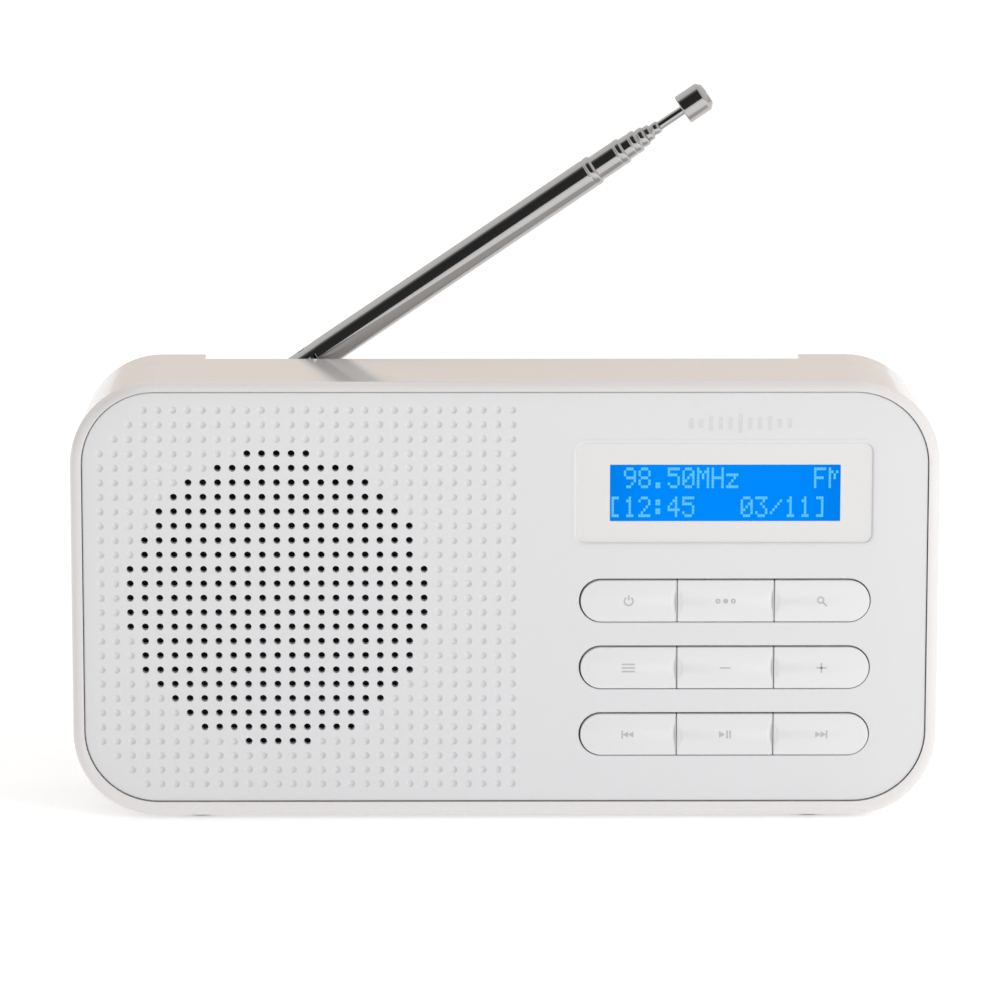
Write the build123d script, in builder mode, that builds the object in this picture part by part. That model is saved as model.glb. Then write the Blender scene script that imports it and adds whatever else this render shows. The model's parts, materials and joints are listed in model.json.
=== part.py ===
"""Compact tabletop radio: a two-part housing with a speaker, display, nine keys and a rod antenna.

Millimetres. The origin is on the table, below the housing's middle: +X is to the right of
someone who faces the front, +Y points to the back, +Z up.
"""

import os
from math import cos, radians, sin

from build123d import *

os.makedirs("parts", exist_ok=True)

# Housing
WIDTH = 161.3
HEIGHT = 82.3
DEPTH = 38.0
CORNER = 15.7
DRAFT = 0.6
WALL = 2.2
FEET = 0.7
FRONT = -DEPTH / 2
BACK = DEPTH / 2
MID_Z = FEET + HEIGHT / 2
TOP_Z = FEET + HEIGHT
PARTING = 3.0
RIM_ROUND = 1.9
BACK_ROUND = 2.5
BACK_SKIN = 1.6
FOOT_X = (-57.0, 57.0)
FOOT_Y = (-12.0, 11.0)
FOOT_R = 3.5
FOOT_H = 2.0

# Front panel, flush with the rim but for a small step
PANEL_FRONT = FRONT + 0.3
PANEL_BACK = FRONT + 2.1
PANEL_W = 156.65
PANEL_H = 77.5
PANEL_R = 13.5
PANEL_Z = 42.45
PANEL_GAP = 0.15
WALL_BACK = PANEL_BACK + 1.8
BEHIND_KEYS = 0.1

# Grille: a square grid, drilled through inside a circle
GRILLE_X = -42.35
GRILLE_Z = 42.47
PITCH = 2.728
HOLE_R = 0.65
FIELD = 107
BLIND = ((-5, 9), (-9, 5))

# Display
WINDOW_X = 40.6
WINDOW_Z = 62.21
WINDOW_W = 55.8
WINDOW_H = 19.65
WINDOW_R = 2.0
WINDOW_FRONT = PANEL_FRONT + 0.5
LCD_X = 40.75
LCD_Z = 62.2
LCD_W = 45.2
LCD_H = 12.6

# Keys: three rows of three in slots with round ends
KEY_X = 40.82
KEY_ROWS = (41.92, 29.21, 16.48)
SLOT_W = 54.25
SLOT_H = 8.32
KEY_GAP = 0.25
KEY_EDGES = (KEY_X - SLOT_W / 2, 31.96, 50.01, KEY_X + SLOT_W / 2)
KEY_FRONT = PANEL_FRONT - 0.1
KEY_NAMES = (
    ("power", "preset", "scan"),
    ("menu", "minus", "plus"),
    ("back", "play", "forward"),
)
FLANGE = 0.9
FLANGE_BACK = WALL_BACK + 0.9
KEY_CHAMFER = 0.15
STEM_R = 1.5

# Main board and what stands on it
BOARD_FRONT = -8.6
BOARD_BACK = -7.0
SWITCH_H = 3.4
PLUNGER_TOP = BOARD_FRONT - SWITCH_H - 0.6
POSTS = ((-1.0, 8.3), (66.5, 8.3), (-1.0, 76.0), (66.5, 76.0))
BOSSES = ((-74.8, 10.5), (74.8, 10.5), (-74.8, 70.0), (74.8, 70.0))
BOSS_R = 3.1
SEAT_Y = PARTING + 3.0
SCREW_R = 1.05
HEAD_R = 2.3
HEAD_H = 1.6
JACK_Y = -4.2
HEADPHONE_Z = 51.0
HEADPHONE_R = 1.8
DC_Z = 32.3
DC_R = 1.9
DC_PIN_R = 0.65
NOSE_R = 2.75
NOSE_X = (77.5, 80.1)
NOSE_HOLE_R = 3.2
NOSE_HOLE_X = (74.0, 84.0)

# Speaker
SPEAKER_R = 33.0
CONE_R = 29.3
MAGNET_R = 18.0
MOUNT_AT = 26.0

# Battery bay for four AA cells
BAY_X = (10.3, 68.9)
BAY_Z = (8.6, 65.6)
BAY_FLOOR = 2.7
BAY_WALL = 2.4
LEDGE = 1.2
DOOR_GAP = 0.15
CELL_R = 7.25
TONGUE_X = 39.6
TONGUE_HALF = 6.0
TAB_X = (22.0, 57.2)
TAB_HALF = 4.0
LEAD_R = 0.6

# Antenna and the trough that it folds into
PIVOT_X = -42.61
PIVOT_Z = 77.32
ANT_Y = 15.0
ELEVATION = 34.295
TROUGH_X = (-56.7, 56.05)
TROUGH_Y = 11.0
TROUGH_Z = 73.6
TROUGH_WALL = 1.6
BARREL_R = 3.3
BARREL_END = 17.9
AXLE_R = 1.5
AXLE_SCREW_R = 0.75
PIN_AT = 6.8
PIN_R = 0.8
TONGUE_R = 1.9
KNUCKLE_R = 2.9
SPIGOT = 4.5
TUBE_RADII = (2.95, 2.6, 2.25, 1.9, 1.55, 1.2, 0.88)
TUBE_WALL = 0.25
TUBE_START = 9.7
TUBE_END = 72.62
SHOWING = (6.5, 3.25, 1.68, 1.28, 1.77, 5.32)
TIP_R = 2.9
TIP_L = 5.52
TUBE_L = 57.5
ROD_L = 55.5
ROD_IN_TIP = 3.0
SWELL = 3.0


def save(builder, name):
    """Label a finished piece and write it."""
    builder.part.label = name
    export_step(builder.part, f"parts/{name}.step")


def brick(x, y, z, mode=Mode.ADD):
    """A box between two limits on each axis."""
    with Locations(((x[0] + x[1]) / 2, (y[0] + y[1]) / 2, (z[0] + z[1]) / 2)):
        Box(x[1] - x[0], y[1] - y[0], z[1] - z[0], mode=mode)


def peg(x, z, radius, y, mode=Mode.ADD):
    """A round bar along Y between two depths."""
    with BuildSketch(Plane.XZ.offset(-y[1])) as disc:
        with Locations((x, z)):
            Circle(radius)
    extrude(disc.sketch, amount=y[1] - y[0], mode=mode)


def rod_x(y, z, radius, x, mode=Mode.ADD):
    """A round bar along X between two ends."""
    with BuildSketch(Plane.YZ.offset(x[0])) as disc:
        with Locations((y, z)):
            Circle(radius)
    extrude(disc.sketch, amount=x[1] - x[0], mode=mode)


def plate(x, z, width, height, corner, y, mode=Mode.ADD):
    """A rounded rectangle that faces the front, between two depths."""
    with BuildSketch(Plane.XZ.offset(-y[1])) as outline:
        with Locations((x, z)):
            RectangleRounded(width, height, corner)
    extrude(outline.sketch, amount=y[1] - y[0], mode=mode)


def slot(x, z, width, height, y, mode=Mode.ADD):
    """A pill shape that faces the front, between two depths."""
    with BuildSketch(Plane.XZ.offset(-y[1])) as outline:
        with Locations((x, z)):
            SlotOverall(width, height)
    extrude(outline.sketch, amount=y[1] - y[0], mode=mode)


def shell_block(inset, y, mode=Mode.ADD):
    """The housing's outer form, moved inwards by inset, between two depths."""
    shrink = inset + DRAFT * (y[1] - FRONT) / DEPTH
    angle = Vector(DEPTH, 0, 0).get_angle(Vector(DEPTH, DRAFT, 0))
    with BuildSketch(Plane.XZ.offset(-y[1])) as outline:
        with Locations((0, MID_Z)):
            RectangleRounded(WIDTH - 2 * shrink, HEIGHT - 2 * shrink, CORNER - shrink)
    extrude(outline.sketch, amount=y[1] - y[0], taper=-angle, mode=mode)


def foot_places():
    """Where the four feet stand."""
    return [(x, y) for x in FOOT_X for y in FOOT_Y]


def mount_places():
    """Where the speaker's four screws sit."""
    return [(GRILLE_X + i * MOUNT_AT, GRILLE_Z + j * MOUNT_AT) for i in (-1, 1) for j in (-1, 1)]


# --- Housing -------------------------------------------------------------------------------

with BuildPart() as front_housing:
    shell_block(0, (FRONT, BACK))
    fillet(front_housing.faces().sort_by(Axis.Y)[0].edges(), RIM_ROUND)
    split(bisect_by=Plane.XZ.offset(-PARTING), keep=Keep.TOP)
    plate(
        0, PANEL_Z, PANEL_W + 2 * PANEL_GAP, PANEL_H + 2 * PANEL_GAP, PANEL_R + PANEL_GAP,
        (FRONT - 1, PANEL_BACK), mode=Mode.SUBTRACT,
    )
    shell_block(WALL, (WALL_BACK, PARTING), mode=Mode.SUBTRACT)
    for x, z in BOSSES:
        peg(x, z, BOSS_R, (WALL_BACK, PARTING))
        peg(x, z, 1.1, (WALL_BACK + 1, PARTING), mode=Mode.SUBTRACT)
    for x, z in POSTS:
        peg(x, z, 2.4, (WALL_BACK, BOARD_FRONT))
        peg(x, z, 0.95, (WALL_BACK + 0.8, BOARD_FRONT), mode=Mode.SUBTRACT)
    peg(GRILLE_X, GRILLE_Z, CONE_R, (PANEL_BACK, WALL_BACK), mode=Mode.SUBTRACT)
    peg(GRILLE_X, GRILLE_Z, CONE_R + 1.7, (PANEL_BACK, PANEL_BACK + 0.35), mode=Mode.SUBTRACT)
    for x, z in mount_places():
        peg(x, z, 2.2, (WALL_BACK, WALL_BACK + 1.2))
        peg(x, z, 0.85, (WALL_BACK - 1, WALL_BACK + 1.2), mode=Mode.SUBTRACT)
    plate(LCD_X, LCD_Z, LCD_W, LCD_H, 0.6, (PANEL_BACK, WALL_BACK), mode=Mode.SUBTRACT)
    for z in KEY_ROWS:
        slot(KEY_X, z, SLOT_W + 0.6, SLOT_H + 0.6, (PANEL_BACK, WALL_BACK), mode=Mode.SUBTRACT)
    for x, y in foot_places():
        if y < PARTING:
            with Locations((x, y, FOOT_H / 2)):
                Cylinder(FOOT_R + 0.1, FOOT_H, mode=Mode.SUBTRACT)
    rod_x(JACK_Y, HEADPHONE_Z, NOSE_HOLE_R, NOSE_HOLE_X, mode=Mode.SUBTRACT)
    rod_x(JACK_Y, DC_Z, NOSE_HOLE_R, NOSE_HOLE_X, mode=Mode.SUBTRACT)
save(front_housing, "front_housing")

with BuildPart() as front_panel:
    with BuildSketch(Plane.XZ.offset(-PANEL_BACK)):
        with Locations((0, PANEL_Z)):
            RectangleRounded(PANEL_W, PANEL_H, PANEL_R)
        with Locations((WINDOW_X, WINDOW_Z)):
            RectangleRounded(WINDOW_W, WINDOW_H, WINDOW_R, mode=Mode.SUBTRACT)
        with Locations([(KEY_X, z) for z in KEY_ROWS]):
            SlotOverall(SLOT_W, SLOT_H, mode=Mode.SUBTRACT)
        with Locations([
            (GRILLE_X + PITCH * i, GRILLE_Z + PITCH * j)
            for i in range(-10, 11)
            for j in range(-10, 11)
            if i * i + j * j <= FIELD and (i, j) not in BLIND
        ]):
            Circle(HOLE_R, mode=Mode.SUBTRACT)
    extrude(amount=PANEL_BACK - PANEL_FRONT)
save(front_panel, "front_panel")

with BuildPart() as display_window:
    plate(
        WINDOW_X, WINDOW_Z, WINDOW_W - 0.2, WINDOW_H - 0.2, WINDOW_R - 0.1,
        (WINDOW_FRONT, PANEL_BACK),
    )
save(display_window, "display_window")

with BuildPart() as rear_housing:
    shell_block(0, (FRONT, BACK))
    fillet(rear_housing.faces().sort_by(Axis.Y)[-1].edges(), BACK_ROUND)
    split(bisect_by=Plane.XZ.offset(-PARTING), keep=Keep.BOTTOM)
    shell_block(WALL, (PARTING, BACK - BACK_SKIN), mode=Mode.SUBTRACT)
    # A lip that locates inside the front part
    shell_block(WALL + 0.15, (PARTING - 1.5, PARTING + 2.0))
    shell_block(WALL + 1.15, (PARTING - 1.5, PARTING + 2.0), mode=Mode.SUBTRACT)
    # The trough along the top edge
    brick(
        (TROUGH_X[0] - TROUGH_WALL, TROUGH_X[1] + TROUGH_WALL),
        (TROUGH_Y - TROUGH_WALL, BACK - BACK_SKIN + 0.1), (TROUGH_Z - TROUGH_WALL, TOP_Z - BACK_SKIN),
    )
    brick(TROUGH_X, (TROUGH_Y, BACK + 1), (TROUGH_Z, TOP_Z + 1), mode=Mode.SUBTRACT)
    peg(PIVOT_X, PIVOT_Z, AXLE_R + 0.05, (TROUGH_Y - 2, TROUGH_Y + 1), mode=Mode.SUBTRACT)
    peg(PIVOT_X, PIVOT_Z, AXLE_R + 1, (PARTING, TROUGH_Y - TROUGH_WALL), mode=Mode.SUBTRACT)
    for x, z in BOSSES:
        peg(x, z, BOSS_R + 0.3, (PARTING - 2, PARTING), mode=Mode.SUBTRACT)
        peg(x, z, BOSS_R, (PARTING, BACK - BACK_SKIN))
        peg(x, z, HEAD_R + 0.2, (SEAT_Y, BACK + 1), mode=Mode.SUBTRACT)
        peg(x, z, 1.5, (PARTING - 1, SEAT_Y + 1), mode=Mode.SUBTRACT)
    # The battery bay
    brick(
        (BAY_X[0] - BAY_WALL, BAY_X[1] + BAY_WALL), (BAY_FLOOR - 1.4, BACK - BACK_SKIN),
        (BAY_Z[0] - BAY_WALL, BAY_Z[1] + BAY_WALL),
    )
    brick(BAY_X, (BAY_FLOOR, BACK + 1), BAY_Z, mode=Mode.SUBTRACT)
    brick(
        (BAY_X[0] - LEDGE, BAY_X[1] + LEDGE), (BACK - BACK_SKIN, BACK + 1),
        (BAY_Z[0] - LEDGE, BAY_Z[1] + LEDGE), mode=Mode.SUBTRACT,
    )
    for x in TAB_X:
        brick(
            (x - TAB_HALF - 0.3, x + TAB_HALF + 0.3), (BAY_FLOOR + 10.5, BACK - BACK_SKIN),
            (BAY_Z[0] - BAY_WALL + 0.6, BAY_Z[0]), mode=Mode.SUBTRACT,
        )
    # Wire holes through the bay's front wall
    for x in (12.5, 66.7):
        peg(x, BAY_Z[1] - 2, 1.2, (BAY_FLOOR - 2, BAY_FLOOR + 1), mode=Mode.SUBTRACT)
    for x, y in foot_places():
        if y > PARTING:
            with Locations((x, y, FOOT_H / 2)):
                Cylinder(FOOT_R + 0.1, FOOT_H, mode=Mode.SUBTRACT)
save(rear_housing, "rear_housing")

with BuildPart() as battery_door:
    door_x = (BAY_X[0] - LEDGE + DOOR_GAP, BAY_X[1] + LEDGE - DOOR_GAP)
    door_z = (BAY_Z[0] - LEDGE + DOOR_GAP, BAY_Z[1] + LEDGE - DOOR_GAP)
    brick(door_x, (BACK - BACK_SKIN, BACK), door_z)
    # Thumb tongue: two slits and a grip rib
    for x in (TONGUE_X - TONGUE_HALF, TONGUE_X + TONGUE_HALF):
        brick(
            (x - 0.4, x + 0.4), (BACK - 2, BACK + 1), (door_z[1] - 9, door_z[1] + 1),
            mode=Mode.SUBTRACT,
        )
    brick(
        (TONGUE_X - 4.5, TONGUE_X + 4.5), (BACK - 3.4, BACK - BACK_SKIN),
        (door_z[1] - 2.4, door_z[1] - 1.4),
    )
    for step in range(4):
        z = door_z[1] - 3.5 - 1.4 * step
        brick(
            (TONGUE_X - 4, TONGUE_X + 4), (BACK - 0.4, BACK + 1), (z - 0.35, z + 0.35),
            mode=Mode.SUBTRACT,
        )
    # Hooked tabs at the lower edge
    for x in TAB_X:
        tab = (x - TAB_HALF, x + TAB_HALF)
        brick(tab, (BACK - 2.9, BACK - 1.7), (BAY_Z[0] - 1.65, BAY_Z[0] + 0.8))
        brick(tab, (BACK - 1.7, BACK - BACK_SKIN), (BAY_Z[0] - 0.8, BAY_Z[0] + 0.8))
save(battery_door, "battery_door")

with BuildPart() as rubber_feet:
    for x, y in foot_places():
        with Locations((x, y, FOOT_H / 2)):
            Cylinder(FOOT_R, FOOT_H)
    bottom = rubber_feet.faces().filter_by(Axis.Z).group_by(Axis.Z)[0]
    chamfer(bottom.edges(), 0.35)
save(rubber_feet, "rubber_feet")

with BuildPart() as housing_screws:
    for x, z in BOSSES:
        peg(x, z, SCREW_R, (WALL_BACK + 4, SEAT_Y))
        peg(x, z, HEAD_R, (SEAT_Y, SEAT_Y + HEAD_H))
        for turn in (0, 90):
            with Locations(Location((x, SEAT_Y + HEAD_H, z), (0, turn, 0))):
                Box(3.0, 1.2, 0.55, mode=Mode.SUBTRACT)
save(housing_screws, "housing_screws")

# --- Speaker -------------------------------------------------------------------------------

with BuildPart() as grille_cloth:
    peg(GRILLE_X, GRILLE_Z, CONE_R + 1.6, (PANEL_BACK + 0.02, PANEL_BACK + 0.3))
save(grille_cloth, "grille_cloth")

SPK = Plane(origin=(GRILLE_X, WALL_BACK, GRILLE_Z), x_dir=(1, 0, 0), z_dir=(0, 1, 0))
# Sections are drawn as radius against depth behind the front wall, then spun about the axis
SPK_SECTION = Plane(origin=(GRILLE_X, WALL_BACK, GRILLE_Z), x_dir=(1, 0, 0), z_dir=(0, 0, 1))
SPK_AXIS = Axis((GRILLE_X, WALL_BACK, GRILLE_Z), (0, 1, 0))


def spin_speaker(points):
    """A ring from an outline of radius and depth."""
    with BuildSketch(SPK_SECTION) as section:
        with BuildLine():
            Polyline(*points, close=True)
        make_face()
    revolve(section.sketch, axis=SPK_AXIS)


with BuildPart() as speaker_basket:
    spin_speaker([
        (CONE_R, 0), (SPEAKER_R, 0), (SPEAKER_R, 1.7), (CONE_R + 1, 1.7), (MAGNET_R + 1, 11.0),
        (MAGNET_R + 1, 12.0), (9.0, 12.0), (9.0, 11.0), (MAGNET_R, 11.0), (CONE_R, 1.7),
    ])
    with BuildSketch(SPK.offset(6.0)):
        with PolarLocations(23.5, 6):
            SlotOverall(10.0, 5.5)
    extrude(amount=4.0, both=True, mode=Mode.SUBTRACT)
save(speaker_basket, "speaker_basket")

with BuildPart() as speaker_magnet:
    spin_speaker([(9.5, 13.6), (MAGNET_R, 13.6), (MAGNET_R, 20.0), (9.5, 20.0)])
    fillet(speaker_magnet.edges().filter_by(GeomType.CIRCLE).group_by(SortBy.RADIUS)[-1], 0.8)
save(speaker_magnet, "speaker_magnet")

with BuildPart() as speaker_yoke:
    spin_speaker([(8.0, 12.0), (MAGNET_R - 1, 12.0), (MAGNET_R - 1, 13.6), (8.0, 13.6)])
    spin_speaker([
        (0, 12.4), (6.9, 12.4), (6.9, 20.0), (MAGNET_R - 1, 20.0), (MAGNET_R - 1, 22.0), (0, 22.0),
    ])
save(speaker_yoke, "speaker_yoke")

with BuildPart() as voice_coil:
    spin_speaker([(7.2, 7.2), (7.7, 7.2), (7.7, 15.0), (7.2, 15.0)])
save(voice_coil, "voice_coil")

with BuildPart() as speaker_cone:
    spin_speaker([(7.8, 7.4), (24.5, 1.5), (24.5, 2.0), (7.8, 8.0)])
save(speaker_cone, "speaker_cone")

with BuildPart() as speaker_surround:
    with BuildSketch(SPK_SECTION):
        with BuildLine():
            front_roll = ThreePointArc((24.6, 1.55), (26.6, 0.15), (28.6, 1.3))
            back_roll = ThreePointArc((28.3, 1.65), (26.6, 0.6), (24.6, 2.0))
            Polyline(front_roll @ 1, (29.2, 1.3), (29.2, 1.65), back_roll @ 0)
            Line(back_roll @ 1, front_roll @ 0)
        make_face()
    revolve(axis=SPK_AXIS)
save(speaker_surround, "speaker_surround")

with BuildPart() as dust_cap:
    with BuildSketch(SPK_SECTION):
        with BuildLine():
            front_arc = JernArc((0, 4.6), (1, 0), 16.0, 30)
            back_arc = JernArc((0, 5.0), (1, 0), 15.6, 30)
            Line(front_arc @ 1, back_arc @ 1)
            Line(front_arc @ 0, back_arc @ 0)
        make_face()
    revolve(axis=SPK_AXIS)
save(dust_cap, "dust_cap")

with BuildPart() as speaker_screws:
    # Each has a clamp washer that holds the speaker's flange
    for x, z in mount_places():
        peg(x, z, 0.8, (WALL_BACK - 0.5, WALL_BACK + 2.0))
        peg(x, z, 3.4, (WALL_BACK + 1.75, WALL_BACK + 2.35))
        peg(x, z, 1.7, (WALL_BACK + 2.35, WALL_BACK + 3.5))
save(speaker_screws, "speaker_screws")

# --- Electronics ---------------------------------------------------------------------------

with BuildPart() as main_board:
    brick((-4.5, 76.5), (BOARD_FRONT, BOARD_BACK), (5.0, 79.0))
    # The right corners leave room for the screw bosses
    for z in ((0, 16.0), (64.0, 85.0)):
        brick((70.0, 80.0), (BOARD_FRONT - 1, BOARD_BACK + 1), z, mode=Mode.SUBTRACT)
    for x, z in POSTS:
        peg(x, z, 1.2, (BOARD_FRONT - 1, BOARD_BACK + 1), mode=Mode.SUBTRACT)
save(main_board, "main_board")

with BuildPart() as board_screws:
    for x, z in POSTS:
        peg(x, z, 0.9, (BOARD_FRONT - 4, BOARD_BACK + 0.2))
        peg(x, z, 1.9, (BOARD_BACK, BOARD_BACK + 1.3))
save(board_screws, "board_screws")

with BuildPart() as lcd_glass:
    plate(LCD_X, LCD_Z, 50.0, 17.4, 0.3, (WALL_BACK + 0.1, WALL_BACK + 2.1))
save(lcd_glass, "lcd_glass")

with BuildPart() as lcd_holder:
    # The light guide is moulded in one with the frame that holds the glass
    plate(LCD_X, LCD_Z, 52.4, 19.8, 1.0, (WALL_BACK + 0.6, BOARD_FRONT))
    plate(LCD_X, LCD_Z, 50.1, 17.5, 0.35, (WALL_BACK, WALL_BACK + 2.1), mode=Mode.SUBTRACT)
save(lcd_holder, "lcd_holder")

key_centres = [((KEY_EDGES[i] + KEY_EDGES[i + 1]) / 2, z) for z in KEY_ROWS for i in range(3)]

with BuildPart() as tact_switches:
    for x, z in key_centres:
        brick((x - 3, x + 3), (BOARD_FRONT - SWITCH_H, BOARD_FRONT), (z - 3, z + 3))
        peg(x, z, 1.75, (BOARD_FRONT - SWITCH_H, BOARD_FRONT - 1.6), mode=Mode.SUBTRACT)
save(tact_switches, "tact_switches")

with BuildPart() as radio_module:
    brick((12.0, 52.0), (BOARD_BACK + 0.8, BOARD_BACK + 1.8), (40.0, 66.0))
    for x in range(13, 51, 3):
        for z in (41.0, 65.0):
            peg(x, z, 0.4, (BOARD_BACK, BOARD_BACK + 0.8))
save(radio_module, "radio_module")

with BuildPart() as shield_can:
    brick((17.0, 47.0), (BOARD_BACK + 1.8, BOARD_BACK + 4.4), (43.0, 63.0))
    brick((17.3, 46.7), (BOARD_BACK + 1.0, BOARD_BACK + 4.1), (43.3, 62.7), mode=Mode.SUBTRACT)
save(shield_can, "shield_can")

with BuildPart() as audio_chips:
    brick((20.0, 30.0), (BOARD_BACK + 0.2, BOARD_BACK + 1.8), (20.0, 26.0))
    brick((40.0, 50.0), (BOARD_BACK + 0.2, BOARD_BACK + 1.8), (24.0, 34.0))
    for x in range(21, 30, 2):
        for z in (19.0, 27.0):
            brick((x - 0.3, x + 0.3), (BOARD_BACK, BOARD_BACK + 0.6), (z - 1.1, z + 1.1))
    for x in range(41, 50, 2):
        for z in (23.0, 35.0):
            brick((x - 0.3, x + 0.3), (BOARD_BACK, BOARD_BACK + 0.6), (z - 1.1, z + 1.1))
save(audio_chips, "audio_chips")

with BuildPart() as capacitors:
    for x, z, radius in ((4, 20, 3.2), (4, 28, 3.2), (4, 36, 2.5), (58, 20, 2.5), (58, 27, 2.5)):
        peg(x, z, radius, (BOARD_BACK, BOARD_BACK + 7.2))
save(capacitors, "capacitors")

with BuildPart() as headphone_jack:
    brick((66.3, 78.0), (BOARD_BACK, JACK_Y + 3.0), (HEADPHONE_Z - 4, HEADPHONE_Z + 4))
    rod_x(JACK_Y, HEADPHONE_Z, NOSE_R, NOSE_X)
    rod_x(JACK_Y, HEADPHONE_Z, HEADPHONE_R, (66.1, 82.0), mode=Mode.SUBTRACT)
save(headphone_jack, "headphone_jack")

with BuildPart() as dc_jack:
    brick((67.0, 78.0), (BOARD_BACK, JACK_Y + 3.3), (DC_Z - 3.4, DC_Z + 3.4))
    rod_x(JACK_Y, DC_Z, NOSE_R, NOSE_X)
    rod_x(JACK_Y, DC_Z, DC_R, (71.0, 82.0), mode=Mode.SUBTRACT)
    rod_x(JACK_Y, DC_Z, DC_PIN_R, (70.5, 79.4))
save(dc_jack, "dc_jack")

# --- Battery contacts and wiring -------------------------------------------------------------

CELL_Y = BAY_FLOOR + CELL_R + 0.1
cell_x = [BAY_X[0] + 0.3 + CELL_R * (2 * i + 1) for i in range(4)]

with BuildPart() as battery_contacts:
    for i, x in enumerate(cell_x):
        top = i % 2 == 0
        z = (BAY_Z[1] - 0.5, BAY_Z[1]) if top else (BAY_Z[0], BAY_Z[0] + 0.5)
        brick((x - 5.5, x + 5.5), (CELL_Y - 5, CELL_Y + 5), z)
        with Locations((x, CELL_Y, z[0] - 0.4 if top else z[1] + 0.4)):
            Cylinder(2.2, 0.8)
save(battery_contacts, "battery_contacts")

with BuildPart() as battery_springs:
    for i, x in enumerate(cell_x):
        top = i % 2 == 1
        z = (BAY_Z[1] - 0.5, BAY_Z[1]) if top else (BAY_Z[0], BAY_Z[0] + 0.5)
        brick((x - 5.5, x + 5.5), (CELL_Y - 5, CELL_Y + 5), z)
        # The coils, closed up, form a short cone
        with Locations((x, CELL_Y, z[0] - 1.5 if top else z[1] + 1.5)):
            Cone(4.4, 2.6, 3.0, rotation=(180, 0, 0) if top else (0, 0, 0))
            Cylinder(1.6, 3.0, mode=Mode.SUBTRACT)
save(battery_springs, "battery_springs")

with BuildPart() as wiring:
    with BuildLine() as speaker_lead:
        FilletPolyline(
            (-22.0, -1.5, 32.0), (-16.0, 0.5, 26.0), (-8.0, 0.5, 22.0), (-1.0, -1.2, 22.0),
            (-1.0, -6.95, 22.0), radius=2.0,
        )
    with BuildSketch(Plane(origin=speaker_lead.line @ 0, z_dir=speaker_lead.line % 0)):
        Circle(LEAD_R)
    sweep(path=speaker_lead.line)
    with BuildLine() as battery_lead:
        FilletPolyline(
            (12.5, BAY_FLOOR, BAY_Z[1] - 2), (12.5, 0.2, BAY_Z[1] - 2), (6.0, -1.0, BAY_Z[1] - 2),
            (2.0, -2.5, 60.0), (2.0, -6.95, 60.0), radius=1.2,
        )
    with BuildSketch(Plane(origin=battery_lead.line @ 0, z_dir=battery_lead.line % 0)):
        Circle(LEAD_R)
    sweep(path=battery_lead.line)
save(wiring, "wiring")

# --- Keys ----------------------------------------------------------------------------------

for row, z in enumerate(KEY_ROWS):
    for column in range(3):
        name = KEY_NAMES[row][column]
        left = KEY_EDGES[column] + (KEY_GAP if column == 0 else KEY_GAP / 2)
        right = KEY_EDGES[column + 1] - (KEY_GAP if column == 2 else KEY_GAP / 2)
        centre = (KEY_EDGES[column] + KEY_EDGES[column + 1]) / 2
        with BuildPart() as key:
            slot(
                KEY_X, z, SLOT_W - 2 * KEY_GAP, SLOT_H - 2 * KEY_GAP,
                (KEY_FRONT, WALL_BACK + BEHIND_KEYS),
            )
            slot(
                KEY_X, z, SLOT_W + 2 * FLANGE, SLOT_H + 2 * FLANGE,
                (WALL_BACK + BEHIND_KEYS, FLANGE_BACK),
            )
            if column > 0:
                brick((left - 60, left), (-30, 0), (z - 9, z + 9), mode=Mode.SUBTRACT)
            if column < 2:
                brick((right, right + 60), (-30, 0), (z - 9, z + 9), mode=Mode.SUBTRACT)
            front = key.faces().sort_by(Axis.Y)[0]
            chamfer(front.edges(), KEY_CHAMFER)
            peg(centre, z, STEM_R, (FLANGE_BACK, PLUNGER_TOP))
        save(key, f"key_{name}")
        with BuildPart() as plunger:
            peg(centre, z, 1.65, (PLUNGER_TOP, BOARD_FRONT - 2.5))
        save(plunger, f"plunger_{name}")

# --- Antenna -------------------------------------------------------------------------------

ALONG = Vector(cos(radians(ELEVATION)), 0, sin(radians(ELEVATION)))
ACROSS = Vector(-sin(radians(ELEVATION)), 0, cos(radians(ELEVATION)))
PIVOT = Vector(PIVOT_X, ANT_Y, PIVOT_Z)
# Local x runs across the rod, local y to the back, local z along the rod
MAST = Plane(origin=PIVOT, x_dir=-ACROSS, z_dir=ALONG)
# Local x along the rod, local y towards the front, local z across it
FLAT = Plane(origin=PIVOT, x_dir=ALONG, z_dir=ACROSS)
MAST_SECTION = Plane(origin=PIVOT, x_dir=-ACROSS, z_dir=-MAST.y_dir)
MAST_AXIS = Axis(PIVOT, ALONG)


def spin_mast(points):
    """A round piece from an outline of radius and distance along the rod."""
    with BuildSketch(MAST_SECTION) as section:
        with BuildLine():
            Polyline(*points, close=True)
        make_face()
    revolve(section.sketch, axis=MAST_AXIS)


with BuildPart() as antenna_base:
    peg(PIVOT_X, PIVOT_Z, BARREL_R, (TROUGH_Y + 0.2, BARREL_END))
    fillet(antenna_base.edges().group_by(Axis.Y)[-1], 0.5)
    peg(PIVOT_X, PIVOT_Z, AXLE_R, (TROUGH_Y - 2.0, TROUGH_Y + 0.2))
    with BuildSketch(FLAT.offset(-1.0)):
        with Locations((PIN_AT / 2, 0)):
            SlotOverall(PIN_AT + 2 * TONGUE_R, 2 * TONGUE_R)
    extrude(amount=2.0)
    with BuildSketch(FLAT.offset(-1.0)):
        with Locations((PIN_AT, 0)):
            Circle(PIN_R + 0.05)
    extrude(amount=2.0, mode=Mode.SUBTRACT)
    peg(PIVOT_X, PIVOT_Z, AXLE_SCREW_R, (TROUGH_Y - 3.0, TROUGH_Y + 3.0), mode=Mode.SUBTRACT)
save(antenna_base, "antenna_base")

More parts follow.
